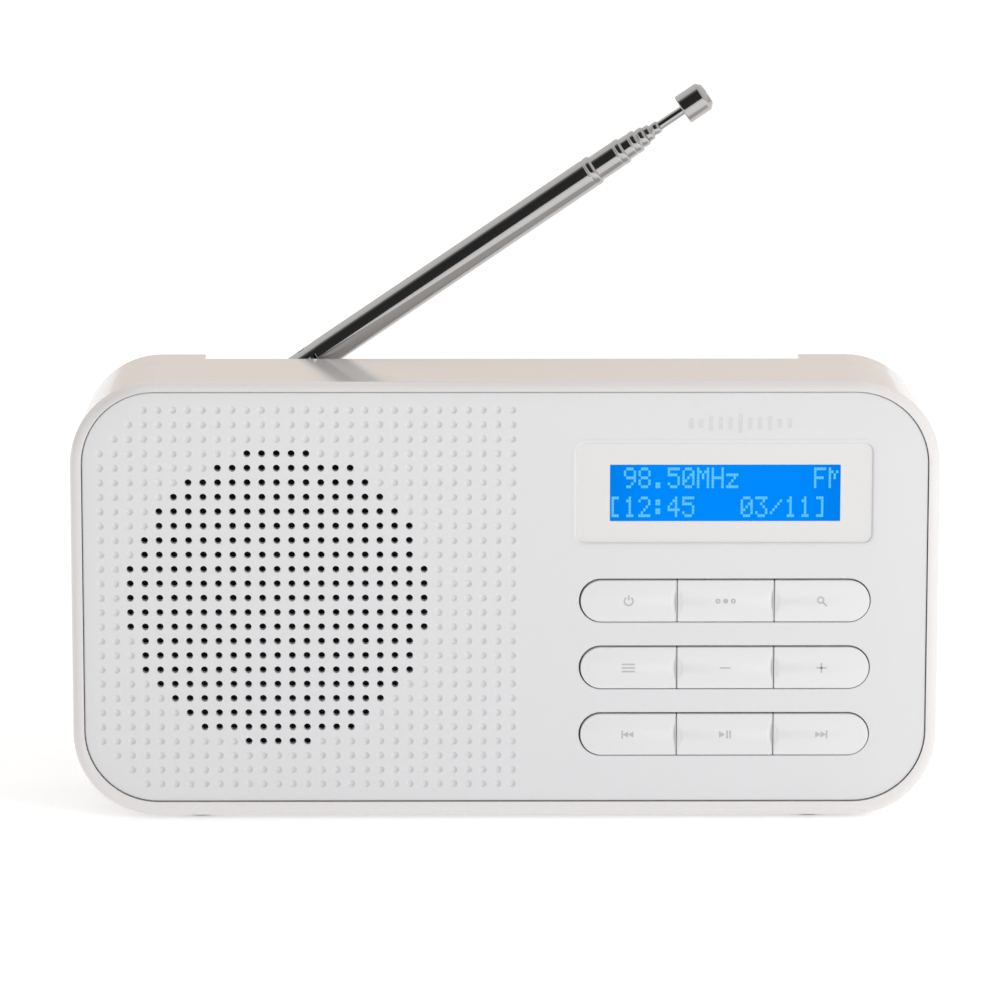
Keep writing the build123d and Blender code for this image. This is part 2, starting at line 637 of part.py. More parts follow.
with BuildPart() as antenna_screw:
    peg(PIVOT_X, PIVOT_Z, 2.2, (TROUGH_Y - 3.2, TROUGH_Y - 2.0))
    peg(PIVOT_X, PIVOT_Z, AXLE_SCREW_R, (TROUGH_Y - 2.0, TROUGH_Y + 2.6))
save(antenna_screw, "antenna_screw")

with BuildPart() as antenna_knuckle:
    spigot_r = TUBE_RADII[0] - TUBE_WALL
    spin_mast([
        (0, PIN_AT - KNUCKLE_R), (KNUCKLE_R, PIN_AT - KNUCKLE_R), (KNUCKLE_R, TUBE_START),
        (spigot_r, TUBE_START), (spigot_r, TUBE_START + SPIGOT), (0, TUBE_START + SPIGOT),
    ])
    # Round the ears about the pin
    with BuildSketch(FLAT.offset(-4)):
        with Locations((PIN_AT - 2, 0)):
            Rectangle(4, 8)
        with Locations((PIN_AT, 0)):
            Circle(KNUCKLE_R, mode=Mode.SUBTRACT)
    extrude(amount=8, mode=Mode.SUBTRACT)
    with BuildSketch(FLAT.offset(-1.1)):
        with Locations((PIN_AT - 1, 0)):
            Rectangle(6.4, 8)
    extrude(amount=2.2, mode=Mode.SUBTRACT)
    with BuildSketch(FLAT.offset(-4)):
        with Locations((PIN_AT, 0)):
            Circle(PIN_R)
    extrude(amount=8, mode=Mode.SUBTRACT)
save(antenna_knuckle, "antenna_knuckle")

with BuildPart() as antenna_pin:
    with BuildSketch(FLAT.offset(-2.7)):
        with Locations((PIN_AT, 0)):
            Circle(PIN_R)
    extrude(amount=5.4)
save(antenna_pin, "antenna_pin")

end = TUBE_END
for number, radius in enumerate(TUBE_RADII[:-1]):
    outside = radius - TUBE_WALL
    mouth = TUBE_RADII[number + 1] + 0.04
    if number:
        end += SHOWING[number - 1]
        start = end - TUBE_L + 0.3 * number
        flare = TUBE_RADII[number - 1] - TUBE_WALL - 0.04
    with BuildPart() as tube:
        if number:
            spin_mast([
                (outside, start), (flare, start), (flare, start + SWELL), (radius, start + SWELL + 0.2),
                (radius, end), (mouth, end), (mouth, end - 1.2), (outside, end - 1.5),
            ])
        else:
            spin_mast([
                (outside, TUBE_START), (radius, TUBE_START), (radius, end), (mouth, end),
                (mouth, end - 1.2), (outside, end - 1.5),
            ])
    save(tube, f"antenna_tube_{number + 1}")

with BuildPart() as antenna_rod:
    end += SHOWING[-1]
    start = end - ROD_L
    flare = TUBE_RADII[-2] - TUBE_WALL - 0.04
    spin_mast([
        (0, start), (flare, start), (flare, start + SWELL), (TUBE_RADII[-1], start + SWELL + 0.2),
        (TUBE_RADII[-1], end + ROD_IN_TIP), (0, end + ROD_IN_TIP),
    ])
save(antenna_rod, "antenna_rod")

with BuildPart() as antenna_tip:
    spin_mast([
        (TUBE_RADII[-1], end), (TIP_R - 0.3, end), (TIP_R, end + 0.3), (TIP_R, end + TIP_L - 0.9),
        (TIP_R - 0.9, end + TIP_L), (0, end + TIP_L), (0, end + ROD_IN_TIP),
        (TUBE_RADII[-1], end + ROD_IN_TIP),
    ])
save(antenna_tip, "antenna_tip")
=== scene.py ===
"""Looks of a compact tabletop radio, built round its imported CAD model."""

import json
from math import atan2, cos, hypot, pi, radians, sin, tau

import bmesh
import bpy
from bpy.props import FloatProperty, FloatVectorProperty, IntProperty, PointerProperty, StringProperty
from mathutils import Matrix, Vector


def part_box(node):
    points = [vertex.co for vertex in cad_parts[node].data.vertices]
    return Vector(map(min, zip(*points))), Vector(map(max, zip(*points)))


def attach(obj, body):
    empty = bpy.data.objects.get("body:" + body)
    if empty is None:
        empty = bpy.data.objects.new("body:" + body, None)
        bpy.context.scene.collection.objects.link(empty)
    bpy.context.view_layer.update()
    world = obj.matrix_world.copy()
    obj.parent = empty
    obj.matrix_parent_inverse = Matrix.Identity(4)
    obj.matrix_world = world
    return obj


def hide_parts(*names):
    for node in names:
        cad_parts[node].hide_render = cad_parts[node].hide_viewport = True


bl_info = {
    "name": "Tabletop Radio",
    "version": (1, 0, 0),
    "blender": (4, 5, 0),
    "location": "View3D > Sidebar > Radio",
    "description": "Builds the panel, keys, display, antenna and finishes of a tabletop radio",
    "category": "Add Mesh",
}

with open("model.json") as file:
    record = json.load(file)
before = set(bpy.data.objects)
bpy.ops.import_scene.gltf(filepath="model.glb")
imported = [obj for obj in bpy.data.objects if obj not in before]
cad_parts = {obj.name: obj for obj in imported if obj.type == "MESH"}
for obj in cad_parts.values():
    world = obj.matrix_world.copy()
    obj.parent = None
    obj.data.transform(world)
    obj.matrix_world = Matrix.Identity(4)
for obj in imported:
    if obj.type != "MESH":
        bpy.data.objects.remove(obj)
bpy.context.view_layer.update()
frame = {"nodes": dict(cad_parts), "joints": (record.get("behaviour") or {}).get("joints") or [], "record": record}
NODES = frame["nodes"]
MM = 0.001
PRINT_THICK = 0.02 * MM
PRINT_LIFT = 0.005 * MM
KEY_ROWS = (("power", "preset", "scan"), ("menu", "minus", "plus"), ("back", "play", "forward"))


# --- Settings --------------------------------------------------------------------------------

def length(name, description, default):
    """A size in metres, given in millimetres."""
    return FloatProperty(name=name, description=description, default=default * MM,
                         unit="LENGTH", precision=5)


def colour(name, description, *rgb):
    """A linear colour."""
    return FloatVectorProperty(name=name, description=description, default=rgb, size=3,
                               subtype="COLOR", min=0.0, max=1.0)


class RadioPanelSettings(bpy.types.PropertyGroup):
    """The perforated front panel."""

    corner: length("Corner radius", "Outer corner radius", 13.5)
    edge_round: length("Edge rounding", "Rounding of the outer edge", 0.3)
    window_corner: length("Window corner", "Corner radius of the window opening", 2.0)
    window_inset: length("Window inset", "How far the slope reaches over the window", 0.4)
    window_slope: length("Window slope", "Width of the slope round the window", 0.8)
    slot_lip: length("Slot lip", "Rounding of a key slot", 0.15)
    slot_width: length("Slot width", "Length of a key slot", 54.25)
    slot_height: length("Slot height", "Height of a key slot", 8.32)
    grille_x: length("Grille centre X", "Middle of the hole field", -42.35)
    grille_z: length("Grille centre Z", "Middle of the hole field", 42.47)
    pitch: length("Pitch", "Distance between holes", 2.728)
    hole_radius: length("Hole radius", "Radius of a through hole", 0.65)
    dimple_radius: length("Dimple radius", "Radius of a blind dimple", 0.65)
    dimple_depth: length("Dimple depth", "Depth of a blind dimple", 0.42)
    mark_x: length("Mark X", "Middle of the printed mark", 43.5)
    mark_z: length("Mark Z", "Middle of the printed mark", 75.4)
    mark_width: length("Mark width", "Width of the printed mark", 20.0)
    mark_height: length("Mark height", "Height of the tallest bar", 3.6)
    field: IntProperty(name="Field", description="Largest i*i + j*j that is drilled through", default=107)
    first_column: IntProperty(name="First column", description="Leftmost column", default=-12)
    last_column: IntProperty(name="Last column", description="Rightmost column", default=16)
    last_row: IntProperty(name="Last row", description="Topmost and bottommost row", default=13)


class RadioKeySettings(bpy.types.PropertyGroup):
    """The nine keys."""

    gap: length("Gap", "Gap between a key and its slot", 0.25)
    split: length("Split", "Gap between two keys of a row", 0.14)
    shift: length("Shift", "How far the caps sit to the lower right in their slots", 0.08)
    edge_round: length("Edge rounding", "Rounding of the face's edge", 0.18)
    dish_width: length("Dish width", "Half width of the finger dish at a divider", 1.15)
    dish_height: length("Dish height", "Half height of the finger dish at a divider", 2.2)
    dish_depth: length("Dish depth", "Depth of the finger dish at a divider", 0.38)
    symbol: length("Symbol size", "Height of a printed symbol", 1.9)
    cap_back: length("Cap back", "Where the cap ends and its flange starts", -15.0)
    flange: length("Flange", "Thickness of the flange", 0.8)


class RadioDisplaySettings(bpy.types.PropertyGroup):
    """The window and the dot display."""

    width: length("Display width", "Width of the lit area", 42.74)
    height: length("Display height", "Height of the lit area", 10.67)
    centre_x: length("Display X", "Middle of the lit area", 40.76)
    centre_z: length("Display Z", "Middle of the lit area", 62.22)
    column: length("Character pitch", "Distance between characters", 2.71)
    line: length("Line pitch", "Distance between lines", 5.47)
    dot_height: length("Dot pitch", "Height of one dot row", 0.56)
    top: length("Top margin", "From the lit area's top to the first line", 0.55)
    first: StringProperty(name="First line", description="Text of line one", default=" 98.50MHz     FM")
    second: StringProperty(name="Second line", description="Text of line two", default="[12:45   03/11]")


class RadioAntennaSettings(bpy.types.PropertyGroup):
    """The telescopic antenna."""

    wall: length("Wall", "Thickness of a tube's wall", 0.25)
    collar: length("Collar", "Length of a rolled collar", 1.3)
    step: length("Step", "Difference between the radii of two tubes", 0.35)
    rod: length("Rod radius", "Radius of the last rod", 0.88)
    steps: IntProperty(name="Steps", description="Facets round a tube", default=56, min=12)


class RadioFinishSettings(bpy.types.PropertyGroup):
    """Colours of the finishes."""

    shell: colour("Shell", "Glossy housing", 0.74, 0.72, 0.71)
    panel: colour("Panel", "Satin front panel", 0.71, 0.71, 0.72)
    key: colour("Key", "Satin keys", 0.745, 0.74, 0.74)
    mask: colour("Mask", "Mask behind the window", 0.715, 0.71, 0.70)
    display: colour("Display", "Lit display ground", 0.0, 0.255, 1.0)
    dot: colour("Dots", "Lit dots", 0.13, 0.60, 1.0)
    print_grey: colour("Print", "Printed symbols", 0.47, 0.47, 0.47)
    chrome: colour("Chrome", "Antenna", 0.47, 0.465, 0.46)


class RadioStageSettings(bpy.types.PropertyGroup):
    """Camera, floor and lights."""

    lens: FloatProperty(name="Lens", description="Focal length in millimetres", default=205.884)
    camera: FloatVectorProperty(name="Camera", description="Camera position", size=3, subtype="TRANSLATION",
                                default=(-0.0092, -1.0583, 0.2626))
    turn: FloatVectorProperty(name="Turn", description="Camera rotation", size=3, subtype="EULER",
                              default=(radians(79.026), radians(-0.042), radians(-0.445)))
    sky: FloatProperty(name="Sky", description="Strength of the light tent", default=1.0, min=0.0)
    softbox: FloatProperty(name="Softbox", description="Power of the softbox in watts", default=1.35, min=0.0)
    fill: FloatProperty(name="Fill", description="Strength of the fill light", default=0.2, min=0.0)


# --- Shader maths ------------------------------------------------------------------------------

class Wire:
    """A value in a node tree. Arithmetic on wires adds Math nodes."""

    def __init__(self, tree, socket):
        self.tree = tree
        self.socket = socket

    def _math(self, operation, *values):
        node = self.tree.nodes.new("ShaderNodeMath")
        node.operation = operation
        for slot_in, value in zip(node.inputs, values):
            if isinstance(value, Wire):
                self.tree.links.new(value.socket, slot_in)
            else:
                slot_in.default_value = value
        return Wire(self.tree, node.outputs[0])

    def __add__(self, other):
        return self._math("ADD", self, other)

    __radd__ = __add__

    def __sub__(self, other):
        return self._math("SUBTRACT", self, other)

    def __rsub__(self, other):
        return self._math("SUBTRACT", other, self)

    def __mul__(self, other):
        return self._math("MULTIPLY", self, other)

    __rmul__ = __mul__

    def __truediv__(self, other):
        return self._math("DIVIDE", self, other)

    def __gt__(self, other):
        return self._math("GREATER_THAN", self, other)

    def __lt__(self, other):
        return self._math("LESS_THAN", self, other)

    def __abs__(self):
        return self._math("ABSOLUTE", self)

    def fraction(self):
        return self._math("FRACT", self)

    def clamp(self):
        return self._math("MAXIMUM", self._math("MINIMUM", self, 1.0), 0.0)

    def clamp_low(self):
        """Negative values only, down to -1."""
        return self._math("MAXIMUM", self._math("MINIMUM", self, 0.0), -1.0)


class Finish:
    """A node material. The shader's constant values are set when it is made."""

    def __init__(self, name, **values):
        self.material = bpy.data.materials.new(name)
        self.material.use_nodes = True
        self.tree = self.material.node_tree
        self.shader = self.tree.nodes["Principled BSDF"]
        self.put(self.shader, values)

    def put(self, node, values):
        for key, value in values.items():
            socket = node.inputs[key if isinstance(key, int) else key.replace("_", " ")]
            if isinstance(value, Wire):
                self.tree.links.new(value.socket, socket)
            elif socket.type == "RGBA" and len(value) == 3:
                socket.default_value = (*value, 1.0)
            else:
                socket.default_value = value

    def node(self, kind, settings=None, output=0, **values):
        """Any other node: its type, its settings and the values or links of its sockets."""
        node = self.tree.nodes.new(kind)
        for key, value in (settings or {}).items():
            if key == "stops":
                for element, (place, tone) in zip(self._stops(node, len(value)), value):
                    element.position = place
                    element.color = (*tone, 1.0)
            else:
                setattr(node, key, value)
        self.put(node, values)
        return Wire(self.tree, node.outputs[output])

    @staticmethod
    def _stops(node, count):
        elements = node.color_ramp.elements
        while len(elements) < count:
            elements.new(0.5)
        return elements

    def place(self):
        return self.node("ShaderNodeTexCoord", output="Object")

    def axes(self):
        """The three parts of the object position, in metres."""
        node = self.node("ShaderNodeSeparateXYZ", Vector=self.place()).socket.node
        return tuple(Wire(self.tree, node.outputs[i]) for i in range(3))

    def noise(self, scale, detail=3.0, rough=0.5):
        return self.node("ShaderNodeTexNoise", Vector=self.place(), Scale=scale, Detail=detail,
                         Roughness=rough, output="Fac")

    def mix(self, factor, a, b):
        """A colour between a and b."""
        node = self.tree.nodes.new("ShaderNodeMix")
        node.data_type = "RGBA"
        for index, value in ((0, factor), (6, a), (7, b)):
            if isinstance(value, Wire):
                self.tree.links.new(value.socket, node.inputs[index])
            elif index == 0:
                node.inputs[index].default_value = value
            else:
                node.inputs[index].default_value = (*value, 1.0)
        return Wire(self.tree, node.outputs[2])

    def bump(self, height, strength, distance):
        self.set(Normal=self.node("ShaderNodeBump", Height=height, Strength=strength, Distance=distance))

    def set(self, **values):
        self.put(self.shader, values)
        return self


def tinted(rgb, factor):
    return tuple(min(1.0, c * factor) for c in rgb)


def moulded(name, rgb, rough, grain=0.0, grain_scale=4000.0, **values):
    """Injection-moulded plastic: faint flow marks, an uneven sheen and a fine grain."""
    f = Finish(name, **values)
    flow = f.noise(18.0, 2.0)
    f.set(Base_Color=f.mix(flow, tinted(rgb, 0.985), tinted(rgb, 1.015)),
          Roughness=rough + (f.noise(45.0, 4.0) - 0.5) * 0.06)
    if grain:
        f.bump(f.noise(grain_scale, 2.0), grain, 0.00003)
    return f.material


def shell_white(settings):
    return moulded("shell_white", settings.shell, 0.16, grain=0.10, grain_scale=900.0,
                   Coat_Weight=0.35, Coat_Roughness=0.04)


def panel_white(settings):
    return moulded("panel_white", settings.panel, 0.40, grain=0.35)


def key_white(settings):
    return moulded("key_white", settings.key, 0.34, grain=0.30)


def window_mask(settings):
    """White print seen through clear acrylic."""
    return moulded("window_mask", settings.mask, 0.45, grain=0.0, Coat_Weight=0.6, Coat_Roughness=0.03)


def symbol_print(settings, name="symbol_print", lighter=1.0):
    """Slightly uneven grey ink."""
    f = Finish(name, Roughness=0.55)
    worn = f.noise(2500.0, 3.0)
    grey = tinted(settings.print_grey, lighter)
    f.set(Base_Color=f.mix(worn, tinted(grey, 0.92), tinted(grey, 1.12)))
    return f.material


def display_ground(settings, box):
    """Backlit blue glass with a faint grid of unlit dots and a soft falloff towards the edges."""
    f = Finish("display_ground", Roughness=0.5, Specular_IOR_Level=0.0, Base_Color=(0.0, 0.0, 0.0))
    x, _, z = f.axes()
    along = (x - box[0]) / (box[1] - box[0])
    edge = (along * (1.0 - along) * 6.0).clamp()
    cell_x = ((x - box[0]) / (0.4633 * MM)).fraction()
    cell_z = ((box[3] - z) / (0.56 * MM)).fraction()
    grid = (cell_x > 0.12) * (cell_z > 0.12)
    level = (0.86 + 0.14 * edge) * (0.965 + 0.035 * grid)
    black = (0.0, 0.0, 0.0)
    f.set(Emission_Color=f.mix(level.clamp(), black, tuple(settings.display)), Emission_Strength=1.0)
    return f.material


def display_dots(settings):
    f = Finish("display_dots", Roughness=0.5, Specular_IOR_Level=0.0, Base_Color=(0.0, 0.0, 0.0))
    level = 0.9 + 0.1 * f.noise(900.0, 2.0)
    f.set(Emission_Color=f.mix(level, (0.0, 0.0, 0.0), tuple(settings.dot)), Emission_Strength=1.0)
    return f.material


def bright_chrome(settings):
    """Plated tube: fine drawing streaks and faint handling marks."""
    f = Finish("bright_chrome", Metallic=1.0)
    smudge = f.noise(140.0, 5.0)
    f.set(Base_Color=f.mix(smudge, tinted(settings.chrome, 0.93), tuple(settings.chrome)),
          Roughness=0.07 + smudge * 0.07)
    f.bump(f.noise(2600.0, 2.0), 0.04, 0.00001)
    return f.material


def metal(name, rgb, rough, streak=1200.0):
    f = Finish(name, Metallic=1.0)
    marks = f.noise(streak, 4.0)
    f.set(Base_Color=f.mix(marks, tinted(rgb, 0.8), rgb), Roughness=rough + marks * 0.15)
    f.bump(marks, 0.12, 0.00002)
    return f.material


def dull(name, rgb, rough, scale=1500.0, depth=0.3, spread=0.25):
    """A rough surface such as rubber, paper or ferrite."""
    f = Finish(name)
    grain = f.noise(scale, 4.0)
    f.set(Base_Color=f.mix(grain, tinted(rgb, 1 - spread), tinted(rgb, 1 + spread)),
          Roughness=rough + (grain - 0.5) * 0.1)
    f.bump(grain, depth, 0.00005)
    return f.material


def scrim(name, rgb):
    """A fine open weave."""
    f = Finish(name, Roughness=0.9)
    x, _, z = f.axes()
    warp = abs((x / (0.35 * MM)).fraction() - 0.5)
    weft = abs((z / (0.35 * MM)).fraction() - 0.5)
    thread = (warp + weft).clamp()
    # Darker in the openings between the threads, where the bump is low: painted shade.
    f.set(Base_Color=f.mix(thread, tinted(rgb, 0.5), rgb))
    f.bump(thread, 0.6, 0.00008)
    return f.material


def circuit_board(name):
    """Green solder mask over tracks."""
    f = Finish(name, Roughness=0.35, Coat_Weight=0.2)
    cells = f.node("ShaderNodeTexBrick", {"offset": 0.3, "squash": 1.4}, output="Fac", Vector=f.node(
        "ShaderNodeMapping", Vector=f.place(), Rotation=(radians(90), 0, 0)), Scale=160.0, Mortar_Size=0.06)
    f.set(Base_Color=f.mix(cells, (0.012, 0.12, 0.05), (0.03, 0.26, 0.10)))
    f.bump(cells, 0.3, 0.00004)
    return f.material


def wound_wire(name, rgb, pitch):
    f = Finish(name, Metallic=0.6, Roughness=0.35)
    _, y, _ = f.axes()
    turn = abs((y / pitch).fraction() - 0.5) * 2.0
    # Darker in the grooves between turns, where the bump is low: painted shade.
    f.set(Base_Color=f.mix(turn.clamp(), tinted(rgb, 0.4), rgb))
    f.bump(turn, 0.8, 0.0001)
    return f.material


# --- Mesh helpers ------------------------------------------------------------------------------

def settle(bm):
    """Merge doubles and turn every face outwards."""
    bmesh.ops.remove_doubles(bm, verts=bm.verts, dist=1e-7)
    bmesh.ops.recalc_face_normals(bm, faces=bm.faces)


def make_piece(name, bm, material, body, slot, *nodes, smooth=32):
    """A finished piece that rides on a body and stands for CAD nodes."""
    mesh = bpy.data.meshes.new(name)
    bm.to_mesh(mesh)
    bm.free()
    mesh.shade_smooth()
    mesh.set_sharp_from_angle(angle=radians(smooth))
    piece = bpy.data.objects.new(name, mesh)
    bpy.context.scene.collection.objects.link(piece)
    mesh.materials.append(material)
    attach(piece, body)
    if nodes:
        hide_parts(*nodes)
    return piece


def facing(x, z, y):
    """Turns a flat XY shape to face the front, at a place."""
    return Matrix.Translation((x, y, z)) @ Matrix.Rotation(pi / 2, 4, "X")


def outline(bm, x, z, width, height, radii, y, segments=12):
    """A face with rounded corners, facing the front: radii run from the lower left, anticlockwise."""
    half_w, half_h = width / 2, height / 2
    corners = ((-half_w, -half_h), (half_w, -half_h), (half_w, half_h), (-half_w, half_h))
    verts = [bm.verts.new((x + cx, y, z + cz)) for cx, cz in corners]
    face = bm.faces.new(verts)
    for vert, radius in zip(verts, radii):
        rounded = bmesh.ops.bevel(bm, geom=[vert], offset=radius, segments=segments, profile=0.5,
                                  affect="VERTICES", material=-1)
        face = rounded["verts"][0].link_faces[0]
    face.normal_update()
    return face


def close_backs(bm):
    """Closes every open loop."""
    bmesh.ops.holes_fill(bm, edges=[e for e in bm.edges if e.is_boundary])


def stretch(bm, edges, x=0.0, y=0.0, z=0.0):
    """Pulls a wall from edges and returns the moved edges."""
    grown = bmesh.ops.extrude_edge_only(bm, edges=edges)["geom"]
    verts = [g for g in grown if isinstance(g, bmesh.types.BMVert)]
    bmesh.ops.translate(bm, vec=(x, y, z), verts=verts)
    return [g for g in grown if isinstance(g, bmesh.types.BMEdge)]


def grow(bm, edges, centre, factor, y):
    """Pulls a sloping wall from a round loop: scaled about its centre and moved back by y."""
    grown = bmesh.ops.extrude_edge_only(bm, edges=edges)["geom"]
    verts = [g for g in grown if isinstance(g, bmesh.types.BMVert)]
    space = Matrix.Translation(-Vector(centre))
    bmesh.ops.scale(bm, vec=(factor, 1, factor), space=space, verts=verts)
    bmesh.ops.translate(bm, vec=(0, y, 0), verts=verts)
    return [g for g in grown if isinstance(g, bmesh.types.BMEdge)]


def walk(bm, face, steps):
    """Insets a face step by step: each step is an inset and a move along the normal."""
    for thickness, depth in steps:
        bmesh.ops.inset_individual(bm, faces=[face], thickness=thickness, depth=depth,
                                   use_even_offset=True)


def rounding(radius, segments):
    """Steps of a quarter round that starts along the wall and ends along the face."""
    places = [(radius * (1 - cos(pi / 2 * i / segments)), radius * sin(pi / 2 * i / segments))
              for i in range(segments + 1)]
    return [(b[0] - a[0], b[1] - a[1]) for a, b in zip(places, places[1:])]


def lathe(bm, points, steps, matrix):
    """A turned shape from (radius, height) points about Z, then placed."""
    verts = [bm.verts.new((r, 0, h)) for r, h in points]
    edges = [bm.edges.new(pair) for pair in zip(verts, verts[1:])]
    bmesh.ops.spin(bm, geom=verts + edges, cent=(0, 0, 0), axis=(0, 0, 1), angle=tau, steps=steps,
                   use_merge=True, use_duplicate=False)
    moved = list({v for v in bm.verts if v.is_valid and not v.tag})
    bmesh.ops.transform(bm, matrix=matrix, verts=moved)
    for v in bm.verts:
        v.tag = True


def paint(node, material):
    """A better material in a CAD node's slots."""
    mesh = NODES[node].data
    if not mesh.materials:
        mesh.materials.append(material)
    for index in range(len(mesh.materials)):
        mesh.materials[index] = material


# --- Front panel ---------------------------------------------------------------------------------

def row_place(row):
    """Middle height and divider places of a row of keys."""
    boxes = [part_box(f"key_{name}") for name in row]
    z = (boxes[0][0].z + boxes[0][1].z) / 2
    dividers = [(a[1].x + b[0].x) / 2 for a, b in zip(boxes, boxes[1:])]
    x = (boxes[0][0].x + boxes[2][1].x) / 2
    return x, z, dividers


def grille_grid(settings):
    """Every grid place, with whether it is drilled through."""
    trims = {13: -9, 12: -10, 11: -11}
    blind = ((-5, 9), (-9, 5))
    for j in range(-settings.last_row, settings.last_row + 1):
        start = trims.get(abs(j), settings.first_column)
        for i in range(start, settings.last_column + 1):
            through = i * i + j * j <= settings.field and (i, j) not in blind
            yield settings.grille_x + settings.pitch * i, settings.grille_z + settings.pitch * j, through


class RADIO_OT_panel(bpy.types.Operator):
    """Build the perforated front panel"""

    bl_idname = "radio.panel"
    bl_label = "Front Panel"

    def execute(self, context):
        s = context.scene.radio_panel
        low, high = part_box("front_panel")
        front, back = low.y, high.y
        depth = back - front
        bm = bmesh.new()
        centre_z = (low.z + high.z) / 2
        width, height = high.x - low.x, high.z - low.z
        # Outer wall, rounded into the front face
        face = outline(bm, 0, centre_z, width, height, [s.corner] * 4, back, segments=20)
        walk(bm, face, [(0.0, depth - s.edge_round)] + rounding(s.edge_round, 4))
        rim = list(face.edges)
        bm.faces.remove(face)
        rear_rim = [e for e in bm.edges if e.is_boundary and all(v.co.y > back - 1e-6 for v in e.verts)]
        front_loops, rear_loops = list(rim), list(rear_rim)
        w_low, w_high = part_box("display_window")
        openings = [((w_low.x + w_high.x) / 2, (w_low.z + w_high.z) / 2,
                     w_high.x - w_low.x - 2 * s.window_inset, w_high.z - w_low.z - 2 * s.window_inset,
                     s.window_corner - s.window_inset, s.window_slope)]
        for row in KEY_ROWS:
            x, z, _ = row_place(row)
            openings.append((x, z, s.slot_width, s.slot_height, s.slot_height / 2 * 0.999, s.slot_lip))
        for x, z, w, h, r, lip in openings:
            hole = outline(bm, x, z, w + 2 * lip, h + 2 * lip, [r + lip] * 4, front, segments=14)
            start = list(hole.edges)
            drop = min(lip, w_low.y - front)
            walk(bm, hole, [(inset, -rise * drop / lip) for inset, rise in reversed(rounding(lip, 4))])
            edges = list(hole.edges)
            bm.faces.remove(hole)
            front_loops += start
            rear_loops += stretch(bm, edges, y=depth - drop)
        # Holes and dimples
        for x, z, through in grille_grid(s):
            radius = s.hole_radius if through else s.dimple_radius
            made = bmesh.ops.create_circle(bm, cap_ends=False, segments=16, radius=radius * 1.12,
                                           matrix=facing(x, z, front))["verts"]
            edges = list({e for v in made for e in v.link_edges})
            front_loops += edges
            centre = (x, front, z)
            if through:
                edges = grow(bm, edges, centre, 1 / 1.12, 0.07 * MM)
                rear_loops += stretch(bm, edges, y=depth - 0.07 * MM)
            else:
                edges = grow(bm, edges, centre, 0.95 / 1.12, s.dimple_depth * 0.3)
                edges = grow(bm, edges, centre, 0.65, s.dimple_depth * 0.55)
                edges = grow(bm, edges, centre, 0.5, s.dimple_depth * 0.15)
                bmesh.ops.contextual_create(bm, geom=edges)
        bmesh.ops.triangle_fill(bm, use_beauty=True, edges=front_loops, normal=(0, -1, 0))
        bmesh.ops.triangle_fill(bm, use_beauty=True, edges=rear_loops, normal=(0, 1, 0))
        settle(bm)
        make_piece("front_panel_skin", bm, panel_white(context.scene.radio_finish), "housing",
                   "panel_plastic", "front_panel", smooth=40)
        self.mark(s, front, symbol_print(context.scene.radio_finish, "mark_print", 1.35))
        return {"FINISHED"}

    @staticmethod
    def mark(s, front, printed):
        """A sound wave of upright bars, printed over the window."""
        bm = bmesh.new()
        for number in range(-5, 6):
            height = s.mark_height * (0.35 + 0.65 * abs(cos(number * 1.1)) * (1 - abs(number) / 8))
            bar(bm, s.mark_x + number * s.mark_width / 11, s.mark_z, front - PRINT_LIFT,
                s.mark_width / 28, height)
        settle(bm)
        make_piece("panel_mark", bm, printed, "housing", "panel_plastic")


# --- Window and display ------------------------------------------------------------------------------

GLYPHS = {
    "0": "01110 10001 10011 10101 11001 10001 01110", "1": "00100 01100 00100 00100 00100 00100 01110",
    "2": "01110 10001 00001 00010 00100 01000 11111", "3": "11111 00010 00100 00010 00001 10001 01110",
    "4": "00010 00110 01010 10010 11111 00010 00010", "5": "11111 10000 11110 00001 00001 10001 01110",
    "8": "01110 10001 10001 01110 10001 10001 01110", "9": "01110 10001 10001 01111 00001 00010 01100",
    ".": "00000 00000 00000 00000 00000 01100 01100", ":": "00000 01100 01100 00000 01100 01100 00000",
    "/": "00000 00001 00010 00100 01000 10000 00000", "M": "10001 11011 10101 10101 10001 10001 10001",
    "H": "10001 10001 10001 11111 10001 10001 10001", "z": "00000 00000 11111 00010 00100 01000 11111",
    "F": "11111 10000 10000 11110 10000 10000 10000", "[": "01110 01000 01000 01000 01000 01000 01110",
    "]": "01110 00010 00010 00010 00010 00010 01110",
}


class RADIO_OT_window(bpy.types.Operator):
    """Build the display window with its printed mask"""

    bl_idname = "radio.window"
    bl_label = "Display Window"

    def execute(self, context):
        s = context.scene.radio_display
        low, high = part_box("display_window")
        bm = bmesh.new()
        inset = context.scene.radio_panel.window_inset
        corner = context.scene.radio_panel.window_corner - inset
        face = outline(bm, (low.x + high.x) / 2, (low.z + high.z) / 2, high.x - low.x - 2 * inset,
                       high.z - low.z - 2 * inset, [corner] * 4, high.y, segments=14)
        walk(bm, face, [(0.0, high.y - low.y)])
        rim = list(face.edges)
        bm.faces.remove(face)
        rear = [e for e in bm.edges if e.is_boundary and all(v.co.y > high.y - 1e-6 for v in e.verts)]
        hole = outline(bm, s.centre_x, s.centre_z, s.width, s.height, [0.12 * MM] * 4, low.y, segments=3)
        inner = list(hole.edges)
        bm.faces.remove(hole)
        inner_rear = stretch(bm, inner, y=high.y - low.y)
        bmesh.ops.triangle_fill(bm, use_beauty=True, edges=rim + inner, normal=(0, -1, 0))
        bmesh.ops.triangle_fill(bm, use_beauty=True, edges=rear + inner_rear, normal=(0, 1, 0))
        settle(bm)
        make_piece("window_plate", bm, window_mask(context.scene.radio_finish), "housing",
                   "window_acrylic", "display_window")
        return {"FINISHED"}


